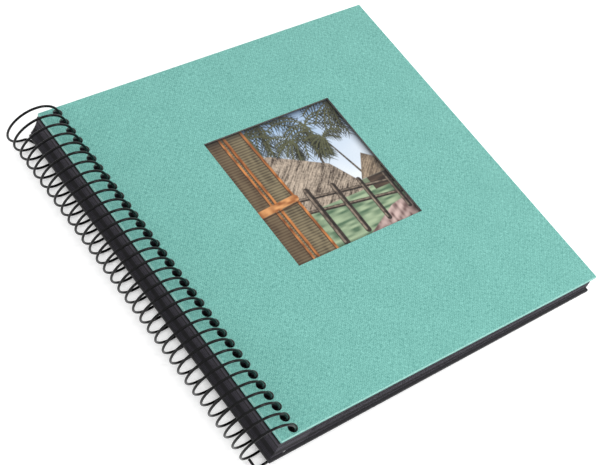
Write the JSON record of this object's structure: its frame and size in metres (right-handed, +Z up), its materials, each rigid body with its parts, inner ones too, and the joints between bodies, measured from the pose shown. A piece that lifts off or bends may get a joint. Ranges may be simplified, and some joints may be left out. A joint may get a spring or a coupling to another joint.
{
  "type": "spiral-bound scrapbook album",
  "caption": "Square scrapbook album with cloth-covered boards, a picture window in the front cover and black card leaves turning on a wire coil.",
  "frame": {"origin": "middle of the closed album's footprint, on the table it lies on", "axes": "+X from the spine to the fore-edge, +Y from the tail to the head, +Z up out of the front cover"},
  "size_m": [0.2344, 0.2124, 0.0292],
  "materials": {
    "cover_cloth": "fine turquoise book cloth, matte",
    "black_cloth": "fine black book cloth, matte",
    "board": "grey bookbinder's board",
    "inner_paper": "plain filler paper",
    "lining_paper": "black lining paper",
    "picture_paper": "satin photo print",
    "leaf_card": "black card, matte",
    "strip_card": "black card, matte",
    "coated_wire": "glossy black coating on wire"
  },
  "bodies": {
    "back_cover_and_coil": {"back_cover_wrap": "black_cloth", "back_cover_board": "board", "back_cover_filler": "inner_paper", "back_cover_lining": "lining_paper", "binding_coil": "coated_wire"},
    "leaf_20": {"leaf_20": "leaf_card", "spacer_strip_20": "strip_card"},
    "leaf_19": {"leaf_19": "leaf_card", "spacer_strip_19": "strip_card"},
    "leaf_18": {"leaf_18": "leaf_card", "spacer_strip_18": "strip_card"},
    "leaf_17": {"leaf_17": "leaf_card", "spacer_strip_17": "strip_card"},
    "leaf_16": {"leaf_16": "leaf_card", "spacer_strip_16": "strip_card"},
    "leaf_15": {"leaf_15": "leaf_card", "spacer_strip_15": "strip_card"},
    "leaf_14": {"leaf_14": "leaf_card", "spacer_strip_14": "strip_card"},
    "leaf_13": {"leaf_13": "leaf_card", "spacer_strip_13": "strip_card"},
    "leaf_12": {"leaf_12": "leaf_card", "spacer_strip_12": "strip_card"},
    "leaf_11": {"leaf_11": "leaf_card", "spacer_strip_11": "strip_card"},
    "leaf_10": {"leaf_10": "leaf_card", "spacer_strip_10": "strip_card"},
    "leaf_09": {"leaf_09": "leaf_card", "spacer_strip_09": "strip_card"},
    "leaf_08": {"leaf_08": "leaf_card", "spacer_strip_08": "strip_card"},
    "leaf_07": {"leaf_07": "leaf_card", "spacer_strip_07": "strip_card"},
    "leaf_06": {"leaf_06": "leaf_card", "spacer_strip_06": "strip_card"},
    "leaf_05": {"leaf_05": "leaf_card", "spacer_strip_05": "strip_card"},
    "leaf_04": {"leaf_04": "leaf_card", "spacer_strip_04": "strip_card"},
    "leaf_03": {"leaf_03": "leaf_card", "spacer_strip_03": "strip_card"},
    "leaf_02": {"leaf_02": "leaf_card", "spacer_strip_02": "strip_card"},
    "leaf_01": {"leaf_01": "leaf_card", "spacer_strip_01": "strip_card"},
    "front_cover": {"front_cover_cloth": "cover_cloth", "front_cover_board": "board", "front_cover_filler": "inner_paper", "front_cover_lining": "lining_paper", "window_picture": "picture_paper"}
  },
  "joints": [
    {"name": "leaf_20_turn", "type": "hinge", "parent": "back_cover_and_coil", "child": "leaf_20", "pos_m": [-0.10269, 0, 0.01455], "axis": [0, -1, 0], "range_deg": [0, 180]},
    {"name": "leaf_19_turn", "type": "hinge", "parent": "leaf_20", "child": "leaf_19", "pos_m": [-0.10269, 0, 0.01455], "axis": [0, -1, 0], "range_deg": [0, 180]},
    {"name": "leaf_18_turn", "type": "hinge", "parent": "leaf_19", "child": "leaf_18", "pos_m": [-0.10269, 0, 0.01455], "axis": [0, -1, 0], "range_deg": [0, 180]},
    {"name": "leaf_17_turn", "type": "hinge", "parent": "leaf_18", "child": "leaf_17", "pos_m": [-0.10269, 0, 0.01455], "axis": [0, -1, 0], "range_deg": [0, 180]},
    {"name": "leaf_16_turn", "type": "hinge", "parent": "leaf_17", "child": "leaf_16", "pos_m": [-0.10269, 0, 0.01455], "axis": [0, -1, 0], "range_deg": [0, 180]},
    {"name": "leaf_15_turn", "type": "hinge", "parent": "leaf_16", "child": "leaf_15", "pos_m": [-0.10269, 0, 0.01455], "axis": [0, -1, 0], "range_deg": [0, 180]},
    {"name": "leaf_14_turn", "type": "hinge", "parent": "leaf_15", "child": "leaf_14", "pos_m": [-0.10269, 0, 0.01455], "axis": [0, -1, 0], "range_deg": [0, 180]},
    {"name": "leaf_13_turn", "type": "hinge", "parent": "leaf_14", "child": "leaf_13", "pos_m": [-0.10269, 0, 0.01455], "axis": [0, -1, 0], "range_deg": [0, 180]},
    {"name": "leaf_12_turn", "type": "hinge", "parent": "leaf_13", "child": "leaf_12", "pos_m": [-0.10269, 0, 0.01455], "axis": [0, -1, 0], "range_deg": [0, 180]},
    {"name": "leaf_11_turn", "type": "hinge", "parent": "leaf_12", "child": "leaf_11", "pos_m": [-0.10269, 0, 0.01455], "axis": [0, -1, 0], "range_deg": [0, 180]},
    {"name": "leaf_10_turn", "type": "hinge", "parent": "leaf_11", "child": "leaf_10", "pos_m": [-0.10269, 0, 0.01455], "axis": [0, -1, 0], "range_deg": [0, 180]},
    {"name": "leaf_09_turn", "type": "hinge", "parent": "leaf_10", "child": "leaf_09", "pos_m": [-0.10269, 0, 0.01455], "axis": [0, -1, 0], "range_deg": [0, 180]},
    {"name": "leaf_08_turn", "type": "hinge", "parent": "leaf_09", "child": "leaf_08", "pos_m": [-0.10269, 0, 0.01455], "axis": [0, -1, 0], "range_deg": [0, 180]},
    {"name": "leaf_07_turn", "type": "hinge", "parent": "leaf_08", "child": "leaf_07", "pos_m": [-0.10269, 0, 0.01455], "axis": [0, -1, 0], "range_deg": [0, 180]},
    {"name": "leaf_06_turn", "type": "hinge", "parent": "leaf_07", "child": "leaf_06", "pos_m": [-0.10269, 0, 0.01455], "axis": [0, -1, 0], "range_deg": [0, 180]},
    {"name": "leaf_05_turn", "type": "hinge", "parent": "leaf_06", "child": "leaf_05", "pos_m": [-0.10269, 0, 0.01455], "axis": [0, -1, 0], "range_deg": [0, 180]},
    {"name": "leaf_04_turn", "type": "hinge", "parent": "leaf_05", "child": "leaf_04", "pos_m": [-0.10269, 0, 0.01455], "axis": [0, -1, 0], "range_deg": [0, 180]},
    {"name": "leaf_03_turn", "type": "hinge", "parent": "leaf_04", "child": "leaf_03", "pos_m": [-0.10269, 0, 0.01455], "axis": [0, -1, 0], "range_deg": [0, 180]},
    {"name": "leaf_02_turn", "type": "hinge", "parent": "leaf_03", "child": "leaf_02", "pos_m": [-0.10269, 0, 0.01455], "axis": [0, -1, 0], "range_deg": [0, 180]},
    {"name": "leaf_01_turn", "type": "hinge", "parent": "leaf_02", "child": "leaf_01", "pos_m": [-0.10269, 0, 0.01455], "axis": [0, -1, 0], "range_deg": [0, 180]},
    {"name": "front_cover_turn", "type": "hinge", "parent": "leaf_01", "child": "front_cover", "pos_m": [-0.10269, 0, 0.01455], "axis": [0, -1, 0], "range_deg": [0, 185]}
  ]
}
